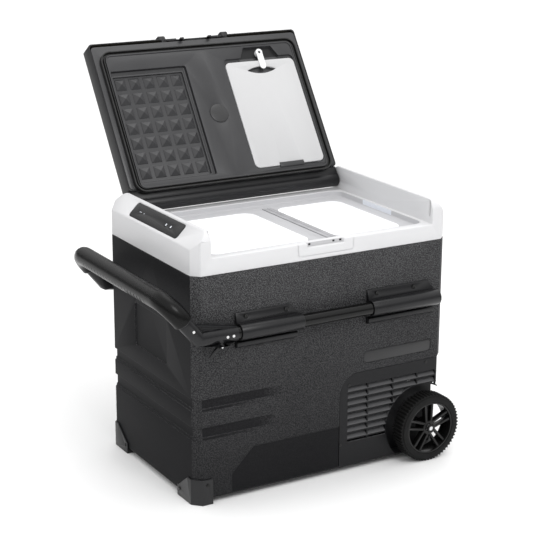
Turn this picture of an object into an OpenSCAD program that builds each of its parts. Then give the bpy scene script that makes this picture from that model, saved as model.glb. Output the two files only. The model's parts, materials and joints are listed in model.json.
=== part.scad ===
// Compressor cooler fridge on wheels: two cooled tubs, a hinged lid with a
// cutting board, a pull-out handle and a compressor bay behind vented covers.
// +X runs from the handle end to the wheel end, the front faces -Y, the floor
// is z = 0 and the origin is under the middle of the body.

/* [Cabinet] */
// Length of the body along X
body_l = 590; // [580:1:600]
// Depth of the body along Y
body_w = 382; // [378:1:390]
// Height of the seam between the dark shell and the white frame
seam_z = 470; // [466:1:474]
// Height of the deck that the lid closes over
deck_z = 503.5; // [500:0.5:507]
// Height of the raised ends on both sides of the lid
horn_z = 555; // [550:1:560]
// Cut of the four upright corners
corner_cut = 16; // [12:1:20]
// Wall thickness of the moulded outer shell
shell_wall = 8; // [7:0.5:9]
// Depth of the pressed bands and panels in the shell
press_depth = 4; // [2:0.5:4]

/* [Tubs] */
// Floor height of the deep left tub
left_floor_z = 62; // [50:1:80]
// Floor height of the shallow right tub above the compressor bay
right_floor_z = 240; // [236:1:260]
// Left edge of the divider between the tubs
divider_left = 2; // [0:1:6]
// Right edge of the divider between the tubs
divider_right = 64; // [60:1:68]
// Corner radius of the tub mouths
tub_r = 25; // [20:1:34]

/* [Lid] */
// Opening angle of the lid at its stop
lid_open = 124.35; // [100:0.05:125]
// Thickness of the lid above its sealing plane
lid_t = 43; // [40:1:46]
// Height that the inner panel stands proud of the sealing plane
plug_t = 8.5; // [8:0.5:9]
// Radius of the hinge roll along the rear edge
roll_r = 15.5; // [14:0.5:15.5]

/* [Handle] */
// Height of the sliding tubes
rail_z = 355; // [350:1:360]
// Radius of the sliding tubes
tube_r = 13; // [12:0.5:14]
// Radius of the bracket barrels
barrel_r = 16.5; // [16:0.5:17]
// Radius of the grip
grip_r = 20; // [18:1:21]

/* [Wheels] */
// Radius of the tyres
wheel_r = 73.5; // [72:0.5:75]
// Width of the tyres
wheel_w = 36; // [32:1:38]
// Radius of the steel axle
axle_r = 5; // [5:0.5:6]

/* [Hidden] */
$fn = 48;

fit = 0.05;              // radial clearance of a running fit
gap = 0.3;               // clearance between moving bodies
half_l = body_l / 2;
half_w = body_w / 2;
shell_z = 15;            // lower edge of the shell
horn_in = half_l - 39;   // inner wall of the raised ends
ledge_z = deck_z - 12.5; // gasket ledge around the tub mouths

// Mouth in the deck, and the tub mouths in the ledge
mouth_x = 252;
mouth_y0 = -168;
mouth_y1 = 161;
tub_x = 222;
tub_y0 = -133;
tub_y1 = 121;
tub_wall = 2;
coil_room = 9;           // space around each tub for its evaporator

// Compressor bay in the lower right of the body
bay_x = 38;
bay_top = 214;
bay_r = 45;

// Hinge axis of the lid
hinge_y = half_w - 16;
hinge_z = deck_z + 20.9;
seal_z = deck_z + 1;     // sealing plane of the closed lid
lid_x = horn_in - 1.5;
lid_y0 = -half_w + 1;
lid_y1 = 150;

// Handle geometry: a bar across the end, and two arms that lean inwards
rail_y = half_w + 20;
rail_end = 250;
elbow_x = -296;
elbow_r = 15;
elbow_end = -215;
arm_lean = 51;
arm_len = 98;
arm_bend = 44;
bar_x = elbow_x - arm_len * cos(arm_lean);
bar_z = rail_z + arm_len * sin(arm_lean);

// Wheel place
wheel_x = 240;
wheel_y = half_w + 39;   // outer face of the tyre
well_r = wheel_r + 11;
well_y = half_w - 26;    // back wall of the wheel well

dark = "#343436";
black = "#1b1b1c";
white = "#e6e6e8";

// ---------------------------------------------------------------- outlines

// Plan of the body, moved in by inset
module plan(inset = 0) {
    x = half_l - inset;
    y = half_w - inset;
    c = corner_cut - inset * 0.586;
    polygon([
        [-x + c, -y], [x - c, -y], [x, -y + c], [x, y - c],
        [x - c, y], [-x + c, y], [-x, y - c], [-x, -y + c]
    ]);
}

// Rectangle from (x0, y0) to (x1, y1) with corner radius r
module round_rect(x0, y0, x1, y1, r) {
    translate([x0 + r, y0]) square([x1 - x0 - 2 * r, y1 - y0]);
    translate([x0, y0 + r]) square([x1 - x0, y1 - y0 - 2 * r]);
    for (x = [x0 + r, x1 - r], y = [y0 + r, y1 - r]) translate([x, y]) circle(r);
}

// Upright layer of a 2D outline from z0 to z1
module layer(z0, z1) {
    translate([0, 0, z0]) linear_extrude(z1 - z0) children();
}

// Outline drawn in X and Z, extruded from y0 to y1
module along_y(y0, y1) {
    translate([0, y1, 0]) rotate([90, 0, 0]) linear_extrude(y1 - y0) children();
}

// Outline drawn in Y and Z, extruded from x0 to x1
module along_x(x0, x1) {
    translate([x0, 0, 0]) rotate([90, 0, 90]) linear_extrude(x1 - x0) children();
}

// Children on the front, or mirrored to the rear
module side(rear) {
    mirror([0, rear ? 1 : 0, 0]) children();
}

// Straight round bar between two points
module bar(a, b, r) {
    d = b - a;
    turn = atan2(d[1], d[0]);
    lean = acos(d[2] / norm(d));
    translate(a) rotate([0, lean, turn]) cylinder(h = norm(d), r = r);
}

// Bent round bar through a list of points, with ball corners
module bent_bar(points, r) {
    for (i = [0 : len(points) - 2]) bar(points[i], points[i + 1], r);
    for (i = [1 : len(points) - 2]) translate(points[i]) sphere(r);
}

// Turns a piece of the closed lid to its open stop
module open_lid() {
    translate([0, hinge_y, hinge_z]) rotate([-lid_open, 0, 0])
        translate([0, -hinge_y, -hinge_z]) children();
}

// Frame of the handle arms: X along the arm away from the bar, Y across
module arm_frame() {
    translate([bar_x, 0, bar_z]) rotate([0, arm_lean, 0]) children();
}

// Compressor bay opening in X and Z, moved in by inset
module bay_outline(inset = 0) {
    r = bay_r - inset;
    translate([bay_x + bay_r, 0]) square([half_l, bay_top - inset]);
    translate([bay_x + inset, 0]) square([bay_r, bay_top - bay_r]);
    translate([bay_x + bay_r, bay_top - bay_r]) circle(r);
}

// Place on the slope of the left raised end, with X up the slope
module on_slope() {
    translate([-half_l + 17, -2, horn_z - 16]) rotate([0, -45, 0]) children();
}

// ---------------------------------------------------------------- cabinet

// Pressed band that runs round the handle end and dies out at x_end along both sides
module band_cut(z0, z1, x_end, depth) {
    c = corner_cut - depth * 0.586;
    layer(z0, z1) difference() {
        translate([-half_l - 5, -half_w - 5]) square([half_l + x_end, body_w + 10]);
        polygon([
            [x_end, -half_w - 0.2], [-half_l + depth + c, -half_w + depth], [-half_l + depth, -half_w + depth + c],
            [-half_l + depth, half_w - depth - c], [-half_l + depth + c, half_w - depth], [x_end, half_w + 0.2]
        ]);
    }
}

module outer_shell() {
    color(dark) difference() {
        layer(shell_z, seam_z) plan();
        layer(shell_z - 1, seam_z + 1) plan(shell_wall);
        for (b = [[202, 221, -50], [142, 163, -69]]) {
            band_cut(b[0], b[1], b[2], press_depth);
            band_cut(b[0] - 6, b[0] + 1, b[2] - 15, press_depth / 2);
        }
        along_y(-half_w - 1, half_w + 1) bay_outline();
        // raised panel edge on the handle end
        along_x(-half_l - 1, -half_l + press_depth - 1) round_rect(-72, 260, 72, 352, 6);
        for (rear = [false, true]) side(rear) {
            // badge recess above the vents
            along_y(-half_w - 1, -half_w + 3) round_rect(95, 231, 261, 256.5, 8);
            // lower panel beside the vents
            along_y(-half_w - 1, -half_w + 1.5)
                polygon([[-213, 10], [120, 10], [120, 103], [-164, 103], [-213, 54]]);
        }
    }
}

// Solid of one raised end, before the plan and the end rounding cut it
module horn_block() {
    along_y(-half_w, half_w) polygon([
        [-half_l, deck_z - 1], [-half_l, horn_z - 33], [-half_l + 33, horn_z],
        [-horn_in, horn_z], [-horn_in, deck_z - 1]
    ]);
}

module top_frame() {
    color(white) difference() {
        union() {
            layer(seam_z, deck_z) plan();
            intersection() {
                union() {
                    horn_block();
                    mirror([1, 0, 0]) horn_block();
                }
                layer(seam_z, horn_z + 1) plan();
                along_x(-half_l, half_l) union() {
                    translate([-half_w, seam_z]) square([body_w, horn_z - seam_z - 24]);
                    round_rect(-half_w, seam_z, half_w, horn_z, 24);
                }
            }
        }
        layer(ledge_z, deck_z + 1) round_rect(-mouth_x, mouth_y0, mouth_x, mouth_y1, 26);
        layer(seam_z - 1, ledge_z + 1) tub_mouth(-tub_x - tub_wall, divider_left + tub_wall, tub_wall);
        layer(seam_z - 1, ledge_z + 1) tub_mouth(divider_right - tub_wall, tub_x + tub_wall, tub_wall);
        // hollow underside that the insulation fills
        layer(seam_z - 1, ledge_z - 4) plan(6);
        // rebate for the divider seal
        translate([40, tub_y0 - 12, ledge_z - 2]) cube([20, tub_y1 - tub_y0 + 24, 4]);
        // strike recess in the front rim, with a shallow finger scoop below it
        translate([-42, -half_w - 1, deck_z - 9]) cube([85, 11, 10]);
        along_y(-half_w - 1, -half_w + 1.5) round_rect(-64, deck_z - 24, 64, deck_z + 10, 6);
        // pocket for the control panel, and the space for its board below
        on_slope() layer(-3, 17) round_rect(-17.3, -106.3, 17.3, 106.3, 7.3);
        on_slope() translate([-14, -90, -12]) cube([28, 180, 15]);
        // slots in the inner walls of the raised ends
        for (x = [-1, 1]) translate([x * (horn_in + 0.5) - 1.5, -181, 521]) cube([3, 4, 31]);
        // seats of the hinge pins
        for (x = [-1, 1]) translate([x * (horn_in - 2), hinge_y, hinge_z]) rotate([0, x * 90, 0])
            cylinder(h = 16.2, r = 4.01);
    }
}

// Mouth of one tub, grown by grow
module tub_mouth(x0, x1, grow = 0) {
    round_rect(x0, tub_y0 - grow, x1, tub_y1 + grow, tub_r + grow);
}

// One open tub with its walls inside the given edges
module tub(x0, x1, floor_z) {
    color("white") difference() {
        layer(floor_z - tub_wall, ledge_z)
            tub_mouth(x0 - tub_wall, x1 + tub_wall, tub_wall);
        layer(floor_z, ledge_z + 1) tub_mouth(x0, x1);
    }
}

module left_tub() {
    tub(-tub_x, divider_left, left_floor_z);
}

module right_tub() {
    tub(divider_right, tub_x, right_floor_z);
}

module divider_seal() {
    color("#bdbdc0") difference() {
        translate([40, tub_y0 - 12, ledge_z - 2]) cube([20, tub_y1 - tub_y0 + 24, 2.6]);
        translate([48, tub_y0 - 13, ledge_z]) cube([4, tub_y1 - tub_y0 + 26, 2]);
    }
}

module foam_core() {
    room = tub_wall + coil_room;
    near = tub_wall + 6;
    // ring under the ledge of the frame
    color("#e9dfb8") layer(seam_z - 0.2, ledge_z - 4.1) difference() {
        plan(8.1);
        tub_mouth(-tub_x - near, divider_left + near, near);
        tub_mouth(divider_right - near, tub_x + near, near);
    }
    color("#e9dfb8") difference() {
        layer(shell_z + 0.1, seam_z - 0.1) plan(shell_wall + 0.1);
        layer(left_floor_z - tub_wall, seam_z) tub_mouth(-tub_x - room, divider_left + room, room);
        layer(right_floor_z - tub_wall, seam_z) tub_mouth(divider_right - room, tub_x + room, room);
        translate([bay_x - 1, -half_w, 0]) cube([half_l, body_w, right_floor_z - 8]);
    }
}

// Evaporator: square-wound rings of tube against the tub wall, joined by a riser
module evaporator(x0, x1, z0, z1, turns) {
    w = 5;
    step = (z1 - z0) / (turns - 1);
    color("#b87333") {
        for (i = [0 : turns - 1]) layer(z0 + i * step, z0 + i * step + w) difference() {
            tub_mouth(x0 - tub_wall - w - 0.2, x1 + tub_wall + w + 0.2, tub_wall + w + 0.2);
            tub_mouth(x0 - tub_wall - 0.2, x1 + tub_wall + 0.2, tub_wall + 0.2);
        }
        translate([x0 - tub_wall - w - 0.2, -20, z0]) cube([w, 8, z1 - z0 + w]);
    }
}

module left_evaporator() {
    evaporator(-tub_x, divider_left, 110, 430, 6);
}

module right_evaporator() {
    evaporator(divider_right, tub_x, 265, 430, 4);
}

module base_plate() {
    color(black) difference() {
        layer(12, shell_z) plan(1);
        // drain of the compressor bay
        for (x = [80 : 30 : 200], y = [-40, 40]) translate([x, y, 11]) cylinder(h = 5, r = 5);
    }
}

module bay_bulkhead() {
    color("#8d9094") along_y(-half_w + shell_wall + 1, half_w - shell_wall - 1) polygon([
        [bay_x + 3, shell_z], [bay_x + 5, shell_z], [bay_x + 5, right_floor_z - 12],
        [half_l - 21, right_floor_z - 12], [half_l - 21, right_floor_z - 10],
        [bay_x + 3, right_floor_z - 10]
    ]);
}

// Guard that wraps a lower corner of the handle end and carries its foot
module corner_guard(rear) {
    color(black) side(rear) {
        difference() {
            intersection() {
                layer(0, 54) difference() {
                    plan(-3);
                    plan(0);
                }
                translate([-half_l - 5, -half_w - 5, 0]) cube([43, 79, 60]);
            }
            // the wing on the end slopes down
            along_x(-half_l - 5, -half_l + 1)
                polygon([[-half_w + 32, 60], [-half_w + 32, 52], [-half_w + 70, 24], [-half_w + 90, 24],
                         [-half_w + 90, 60]]);
            translate([-268, -half_w + 1, 42]) rotate([90, 0, 0]) cylinder(h = 6, r = 2.05);
            translate([-half_l - 5, -half_w + 64, 17]) rotate([0, 90, 0]) cylinder(h = 6, r = 2.05);
        }
        // foot under the base plate
        intersection() {
            layer(0, 12) plan(0);
            translate([-half_l, -half_w, 0]) cube([38, 74, 12]);
        }
    }
}

module front_corner_guard() {
    corner_guard(false);
}

module rear_corner_guard() {
    corner_guard(true);
}

// Vent cover with slanted louvres, three mullions and the well for its wheel
module vent_cover(rear) {
    face = -half_w + 1.5;
    back = face + 4;
    color(dark) side(rear) {
        difference() {
            union() {
                difference() {
                    intersection() {
                        along_y(face, back) bay_outline(1);
                        translate([0, -half_w, shell_z]) cube([half_l - corner_cut, 20, 300]);
                    }
                    along_y(face - 1, back + 1) round_rect(58, 64, 276, 186, 4);
                }
                // louvre slats
                intersection() {
                    for (i = [0 : 7]) along_x(57, 277) translate([0, 69.5 + i * 14.7])
                        polygon([[face, 0], [face + 0.2, 2.5], [back + 6, 10], [back + 6, 7.5]]);
                    along_y(face, back + 6) round_rect(57, 63, 277, 187, 4);
                }
                for (x = [108, 170, 231]) translate([x - 1.5, face + 1, 63]) cube([3, 8, 124]);
            }
            along_y(-half_w, -half_w + 40) translate([wheel_x, wheel_r]) circle(well_r);
            for (p = [[61, 189], [252, 206], [42, 61]])
                translate([p[0], -half_w + 8, p[1]]) rotate([90, 0, 0]) cylinder(h = 10, r = 2.05);
        }
        // wheel well
        difference() {
            along_y(face, -well_y + 2.5) intersection() {
                translate([wheel_x, wheel_r]) circle(well_r + 2.5);
                translate([0, shell_z]) square([half_l - 12, 300]);
            }
            along_y(face - 1, -well_y) translate([wheel_x, wheel_r]) circle(well_r);
            along_y(face - 1, -well_y) translate([wheel_x, 0]) square([half_l, shell_z + 20]);
            along_y(-well_y - 1, -well_y + 4) translate([wheel_x, wheel_r]) circle(axle_r + 3.5);
        }
    }
}

module front_vent_cover() {
    vent_cover(false);
}

module rear_vent_cover() {
    vent_cover(true);
}

module end_cover() {
    color(dark) difference() {
        union() {
            intersection() {
                layer(150, bay_top - 1) difference() {
                    plan(3);
                    plan(7);
                }
                translate([half_l - corner_cut + 1, -half_w, 0]) cube([50, body_w, 300]);
            }
            translate([half_l - 11, -half_w + 30, shell_z]) cube([4, body_w - 60, 136]);
            translate([half_l - 11, -half_w + 30, 148]) cube([8, body_w - 60, 4]);
        }
        for (y = [-120 : 30 : 90]) translate([half_l - 12, y, 40]) cube([9, 20, 8]);
        for (y = [-120 : 30 : 90]) translate([half_l - 12, y, 120]) cube([9, 20, 8]);
        translate([half_l - 12, -60, 184]) rotate([0, 90, 0]) cylinder(h = 14, r = 14.1);
    }
}

module badge_plate() {
    color(dark) for (rear = [false, true]) side(rear)
        along_y(-half_w + 1, -half_w + 3) round_rect(95.5, 231.5, 260.5, 256, 7.5);
}

module blank_label() {
    color("#f0f1f4") translate([mouth_x - 0.4, -48, ledge_z + 1]) cube([0.4, 109, 10.5]);
}

// Domed screw head with a cross recess, its axis out of the front face
module screw(r, h) {
    difference() {
        rotate([90, 0, 0]) cylinder(h = h, r = r);
        translate([-r * 0.6, -h - 1, -0.4]) cube([r * 1.2, 1.6, 0.8]);
        translate([-0.4, -h - 1, -r * 0.6]) cube([0.8, 1.6, r * 1.2]);
    }
}

module case_screws() {
    color("silver") for (rear = [false, true]) side(rear) {
        translate([-268, -half_w - 3, 42]) screw(3.5, 1.6);
        translate([-half_l - 3, -half_w + 64, 17]) rotate([0, 0, -90]) screw(3.5, 1.6);
        for (p = [[61, 189], [252, 206], [42, 61]]) translate([p[0], -half_w + 1.5, p[1]]) screw(3, 1);
        for (b = [-207, 97], x = [22, 112]) translate([b + x, -half_w - 4.5, rail_z + 25]) screw(4, 3);
    }
}

// ---------------------------------------------------------------- wheels

module axle() {
    color("silver") rotate([90, 0, 0]) translate([wheel_x, wheel_r, -wheel_y - 1])
        cylinder(h = 2 * (wheel_y + 1), r = axle_r);
}

module axle_brackets() {
    color(black) for (rear = [false, true]) side(rear) difference() {
        union() {
            along_y(-150, -144) polygon([
                [wheel_x - 32, shell_z], [wheel_x + 32, shell_z],
                [wheel_x + 14, wheel_r + 14], [wheel_x - 14, wheel_r + 14]
            ]);
            translate([wheel_x - 32, -150, shell_z]) cube([64, 26, 3]);
        }
        translate([wheel_x, -140, wheel_r]) rotate([90, 0, 0]) cylinder(h = 12, r = axle_r + fit);
    }
}

// Wheel section at y, with children drawn in X and Z about the hub
module wheel_layer(y0, y1) {
    along_y(y0, y1) translate([wheel_x, wheel_r]) children();
}

module tyre(rear) {
    lugs = 60;
    color(black) side(rear) {
        wheel_layer(-wheel_y + 3, -wheel_y + wheel_w - 3) difference() {
            circle(wheel_r - 3, $fn = 120);
            circle(wheel_r - 17);
        }
        wheel_layer(-wheel_y, -wheel_y + wheel_w) difference() {
            circle(wheel_r - 6, $fn = 120);
            circle(wheel_r - 17);
        }
        wheel_layer(-wheel_y + 3, -wheel_y + wheel_w - 3) for (i = [0 : lugs - 1])
            rotate(i * 360 / lugs) polygon([
                [wheel_r - 5, -2.4], [wheel_r, -1.5], [wheel_r, 1.5], [wheel_r - 5, 2.4]
            ]);
    }
}

module front_tyre() {
    tyre(false);
}

module rear_tyre() {
    tyre(true);
}

module rim(rear) {
    seat = wheel_r - 17 - 0.02;
    color(black) side(rear) difference() {
        union() {
            wheel_layer(-wheel_y + 1, -wheel_y + wheel_w - 1) difference() {
                circle(seat);
                circle(seat - 4);
            }
            wheel_layer(-wheel_y + 4, -wheel_y + wheel_w - 2) circle(15);
            // five pairs of spokes
            for (i = [0 : 4]) wheel_layer(-wheel_y + 5, -wheel_y + 17) rotate(20 + i * 72)
                for (k = [-1, 1]) polygon([
                    [10, k * 6 - 2.5], [seat - 2, k * 9 - 2.5], [seat - 2, k * 9 + 2.5], [10, k * 6 + 2.5]
                ]);
        }
        wheel_layer(-wheel_y - 1, -wheel_y + wheel_w + 1) circle(axle_r + fit);
    }
}

module front_rim() {
    rim(false);
}

module rear_rim() {
    rim(true);
}

// Sleeve on the axle between its bracket and the wheel
module axle_spacers() {
    color(black) for (rear = [false, true]) side(rear) difference() {
        wheel_layer(-wheel_y + wheel_w - 2 + gap, -150.1) circle(axle_r + 3);
        wheel_layer(-wheel_y, -140) circle(axle_r + 0.01);
    }
}

// Push-on caps that keep the wheels on the axle
module axle_caps() {
    color("silver") for (rear = [false, true]) side(rear) difference() {
        wheel_layer(-wheel_y - 2.5, -wheel_y + 4 - gap) circle(9);
        wheel_layer(-wheel_y - 1.1, -wheel_y + 5) circle(axle_r + 0.01);
    }
}

// ---------------------------------------------------------------- handle

// Clamp that carries a tube: sloped screw flange, barrel and lower strip
module rail_bracket(x0, x1) {
    face = -half_w;
    difference() {
        union() {
            along_x(x0, x1) polygon([
                [face, rail_z + 33], [face - 3, rail_z + 33], [face - 10, rail_z + 15],
                [face - 10, rail_z + 11], [face, rail_z + 11]
            ]);
            along_x(x0, x1) polygon([
                [face, rail_z - 11], [face - 4, rail_z - 11], [face - 4, rail_z - 23],
                [face - 12, rail_z - 25], [face - 12, rail_z - 33], [face - 5, rail_z - 38],
                [face, rail_z - 38]
            ]);
            along_x(x0, x1) translate([face - 17, rail_z - 12]) square([17, 24]);
            along_x(x0 - 1, x1 + 1) translate([-rail_y, rail_z]) circle(barrel_r);
        }
        along_x(x0 - 2, x1 + 2) translate([-rail_y, rail_z]) circle(tube_r + fit);
        // slanted end of the flange
        translate([x1, face - 20, rail_z + 17]) rotate([0, -38, 0]) cube([40, 21, 60]);
        // screw seats
        for (x = [22, 112]) translate([x0 + x, face - 4.5, rail_z + 25]) rotate([90, 0, 0])
            cylinder(h = 20, r = 4.6);
    }
}

module front_rail_brackets() {
    color(black) {
        rail_bracket(-207, -70);
        rail_bracket(97, 257);
    }
}

module rear_rail_brackets() {
    color(black) side(true) {
        rail_bracket(-207, -70);
        rail_bracket(97, 257);
    }
}

module rail_tube(rear) {
    color("#161617") side(rear) difference() {
        bar([elbow_end - 20, -rail_y, rail_z], [rail_end, -rail_y, rail_z], tube_r);
        bar([elbow_end - 21, -rail_y, rail_z], [rail_end + 1, -rail_y, rail_z], tube_r - 1.5);
    }
}

module front_tube() {
    rail_tube(false);
}

module rear_tube() {
    rail_tube(true);
}

// Plane where the two legs of an elbow meet, with X along the bisector
module mitre_side() {
    translate([elbow_x, -rail_y, rail_z]) rotate([0, arm_lean / 2 - 90, 0]) children();
}

// Elbow that joins a tube to a grip arm, with a gusset in its corner
module elbow(rear) {
    color(black) side(rear) difference() {
        union() {
            intersection() {
                bar([elbow_x - 25, -rail_y, rail_z], [elbow_end, -rail_y, rail_z], elbow_r);
                mitre_side() translate([-60, -20, -120]) cube([120, 40, 120]);
            }
            intersection() {
                arm_frame() bar([arm_bend + 2, -rail_y, 0], [arm_len + 25, -rail_y, 0], elbow_r);
                mitre_side() translate([-60, -20, 0]) cube([120, 40, 120]);
            }
            along_y(-rail_y - 3, -rail_y + 9) polygon([
                [elbow_x - 8, rail_z + 30], [elbow_x, rail_z], [elbow_end, rail_z], [elbow_end, rail_z + 14]
            ]);
            lever_ears();
        }
        // outer side of the bend
        mitre_side() translate([-40, -20, -60]) cube([26.6, 40, 120]);
        // socket for the tube
        bar([elbow_end - 20, -rail_y, rail_z], [elbow_end + 1, -rail_y, rail_z], tube_r + 0.01);
        // socket for the grip's spigot
        arm_frame() bar([arm_bend, -rail_y, 0], [arm_bend + 22, -rail_y, 0], 11.01);
        // screw seats
        for (x = [-228, -241]) translate([x, -rail_y - elbow_r + 1, rail_z]) rotate([90, 0, 0])
            cylinder(h = 5, r = 3);
        arm_frame() translate([arm_len - 28, -rail_y - elbow_r + 1, 0]) rotate([90, 0, 0])
            cylinder(h = 5, r = 3);
    }
}

module front_elbow() {
    elbow(false);
}

module rear_elbow() {
    elbow(true);
}

// Path of the grip: bar, two bends and two short arms, in the arm frame
module grip_path(r) {
    run = rail_y - arm_bend;
    bar([0, -run, 0], [0, run, 0], r);
    for (k = [-1, 1]) translate([arm_bend, k * run, 0]) rotate([0, 0, k < 0 ? 180 : 90])
        rotate_extrude(angle = 90) translate([arm_bend, 0]) circle(r);
}

module grip() {
    color(black) arm_frame() {
        difference() {
            grip_path(grip_r);
            translate([-60, -300, -60]) cube([160, 600, 54]);
            for (k = [-1, 1]) bar([arm_bend, k * rail_y, 0], [arm_bend + 1.6, k * rail_y, 0], 30);
        }
        for (k = [-1, 1]) bar([arm_bend - 6, k * rail_y, 0], [arm_bend + 22, k * rail_y, 0], 11);
    }
}

module grip_underside() {
    color(black) arm_frame() difference() {
        intersection() {
            grip_path(grip_r - 0.5);
            translate([-60, -300, -60]) cube([160, 600, 53.98]);
        }
        for (y = [-140 : 14 : 140]) translate([-30, y - 1, -21]) cube([60, 2, 4]);
        for (k = [-1, 1]) bar([arm_bend - 6.1, k * rail_y, 0], [arm_bend + 23, k * rail_y, 0], 11.1);
    }
}

module handle_screws() {
    color("silver") for (rear = [false, true]) side(rear) {
        for (x = [-228, -241]) translate([x, -rail_y - elbow_r + 1, rail_z]) screw(2.8, 1.8);
        arm_frame() translate([arm_len - 28, -rail_y - elbow_r + 1, 0]) screw(2.8, 1.8);
    }
}

// Place of a lever's pin, under the elbow
lever_at = [-248, rail_z - 22];

// Pair of ears under an elbow that hold a lever's pin
module lever_ears() {
    difference() {
        along_y(-rail_y - 7, -rail_y + 7) translate(lever_at) union() {
            circle(5);
            translate([-5, 0]) square([10, 12]);
        }
        along_y(-rail_y - 2.5 - gap, -rail_y + 2.5 + gap) translate(lever_at + [-10, -10]) square([20, 17]);
        along_y(-rail_y - 8, -rail_y + 8) translate(lever_at) circle(2.01);
    }
}

module lever_pins() {
    color("silver") for (rear = [false, true]) side(rear)
        along_y(-rail_y - 7, -rail_y + 7) translate(lever_at) circle(2);
}

// Hooked lever that turns on its pin under the elbow
module release_lever(rear) {
    color(black) side(rear) along_y(-rail_y - 2.5, -rail_y + 2.5) translate(lever_at) difference() {
        union() {
            circle(4.6);
            polygon([[-14, -5], [-26, -19], [-22, -22], [-8, -9], [4, -3], [2, 4], [-6, 2]]);
        }
        circle(2 + fit);
    }
}

module front_release_lever() {
    release_lever(false);
}

module rear_release_lever() {
    release_lever(true);
}

// ---------------------------------------------------------------- lid

// Outer form of the closed lid
module lid_form(inset) {
    top = seal_z + lid_t - inset;
    intersection() {
        layer(seal_z, top) round_rect(-lid_x + inset, lid_y0 + inset, lid_x - inset, lid_y1 - inset, 8);
        along_y(lid_y0, lid_y1 + 1) union() {
            round_rect(-lid_x + inset, seal_z, lid_x - inset, top, 12);
            translate([-lid_x + inset, seal_z]) square([2 * (lid_x - inset), 20]);
        }
        along_x(-lid_x, lid_x) union() {
            round_rect(lid_y0 + inset, seal_z, lid_y1 + 20, top, 16);
            translate([lid_y0 + inset, seal_z]) square([lid_y1 - lid_y0, 20]);
        }
    }
}

module lid_shell() {
    color(black) open_lid() difference() {
        union() {
            lid_form(0);
            along_x(-lid_x, lid_x) translate([hinge_y, hinge_z]) circle(roll_r);
            // cheeks on both sides of the latch
            for (x = [-85, 69.5]) along_x(x, x + 15.5) polygon([
                [lid_y0 + 1, seal_z + 2], [lid_y0 + 1, seal_z + 30], [lid_y0 - 4, seal_z + 28],
                [lid_y0 - 9, seal_z + 18], [lid_y0 - 9, seal_z + 6], [lid_y0 - 6, seal_z + 2]
            ]);
            along_x(-lid_x, lid_x) polygon([
                [lid_y1 - 1, seal_z + 6], [hinge_y - 8, hinge_z - roll_r + 2], [hinge_y, hinge_z],
                [hinge_y, hinge_z + roll_r], [lid_y1 - 1, hinge_z + roll_r + 3]
            ]);
        }
        difference() {
            translate([0, 0, -0.01]) lid_form(3);
            // block round the latch
            translate([-81, lid_y0, seal_z - 1]) cube([162, 7.9, 33]);
        }
        for (x = [-1, 1]) translate([x * (lid_x - 16), hinge_y, hinge_z]) rotate([0, x * 90, 0])
            cylinder(h = 20, r = 4 + fit);
        // seat of the latch in the front edge, and the holes of its stub pins
        translate([-69.2, lid_y0 - 10, seal_z - 1]) cube([138.4, 16.8, 27.5]);
        along_x(-72.5, 72.5) translate(latch_at) circle(1.5 + fit);
    }
}

// Face of the cutting board in the closed lid, and the stud of its clip
board_z = seal_z - plug_t - 1;
clip_at = [141, -134];

module lid_liner() {
    color("#4a4a4c") open_lid() difference() {
        union() {
            layer(seal_z, seal_z + 2.5) round_rect(-lid_x + 3.2, lid_y0 + 8, lid_x - 3.2, lid_y1 - 3.2, 8);
            layer(seal_z - plug_t, seal_z) round_rect(-229, -156.5, 229, 150.5, 14);
        }
        // pocket with the pyramids
        layer(seal_z - plug_t - 1, seal_z - plug_t + 8) round_rect(-226, -118.5, -47, 138, 5);
        // seat of the cutting board, longer than the board so that it can slide off its tab
        layer(seal_z - plug_t - 1, seal_z - plug_t + 5) round_rect(48.2, -124.3, 223.8, 137.2, 10);
        // finger recess above the board
        layer(seal_z - plug_t - 1, seal_z - plug_t + 7)
            polygon([[106, -149], [176, -149], [189, -123.8], [92, -123.8]]);
        layer(seal_z - plug_t - 1, seal_z + 1) circle(21.6);
    }
    color("#4a4a4c") open_lid() {
        // stud that the clip turns on
        translate([clip_at[0], clip_at[1], board_z - 3.3]) cylinder(h = 12, r = 3);
        // tab over the lower edge of the board
        translate([108, 130, board_z - 1.9]) cube([61, 11, 1.6]);
        translate([108, 137.5, board_z - 1.9]) cube([61, 3.5, 4]);
    }
}

module lid_foam() {
    color("#e9dfb8") open_lid() intersection() {
        translate([0, 0, -0.2]) lid_form(3.3);
        layer(seal_z + 2.6, seal_z + lid_t) round_rect(-lid_x + 4, lid_y0 + 8.5, lid_x - 4, lid_y1 - 4, 8);
    }
}

module lid_gasket() {
    color("black") open_lid() layer(ledge_z + 0.5, seal_z) difference() {
        round_rect(-240, -165.5, 240, 158.5, 24);
        round_rect(-230, -157.5, 230, 151.5, 15);
    }
}

module lid_lens() {
    color("#3a3a3c") open_lid() translate([0, 0, seal_z - plug_t - 1]) cylinder(h = 4, r = 21.5);
}

// Pivot of the latch in the closed lid, in Y and Z
latch_at = [lid_y0 + 3, seal_z + 22];

// Latch in the front edge of the lid: plate, stub pins and two hooks
module lid_latch() {
    color(black) open_lid() {
        difference() {
            translate([-68.7, lid_y0 + 0.5, seal_z + 1]) cube([137.4, 5, 23]);
            translate([-44, lid_y0 - 1, seal_z]) cube([88, 4, 14]);
        }
        along_x(-72, 72) translate(latch_at) circle(1.5);
        for (x = [-34, 34]) {
            translate([x - 4, lid_y0 + 3, seal_z - 7.5]) cube([8, 2.5, 12]);
            translate([x - 4, lid_y0 + 5, seal_z - 7.5]) cube([8, 2, 2]);
        }
    }
}

module latch_strike() {
    color("#d8d8da") difference() {
        translate([-41.5, -half_w + 9, deck_z - 8.5]) cube([84, 0.9, 8]);
        for (x = [-34, 22, 38]) translate([x - 2.5, -half_w, deck_z - 6]) cube([5, 12, 4]);
    }
}

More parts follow.
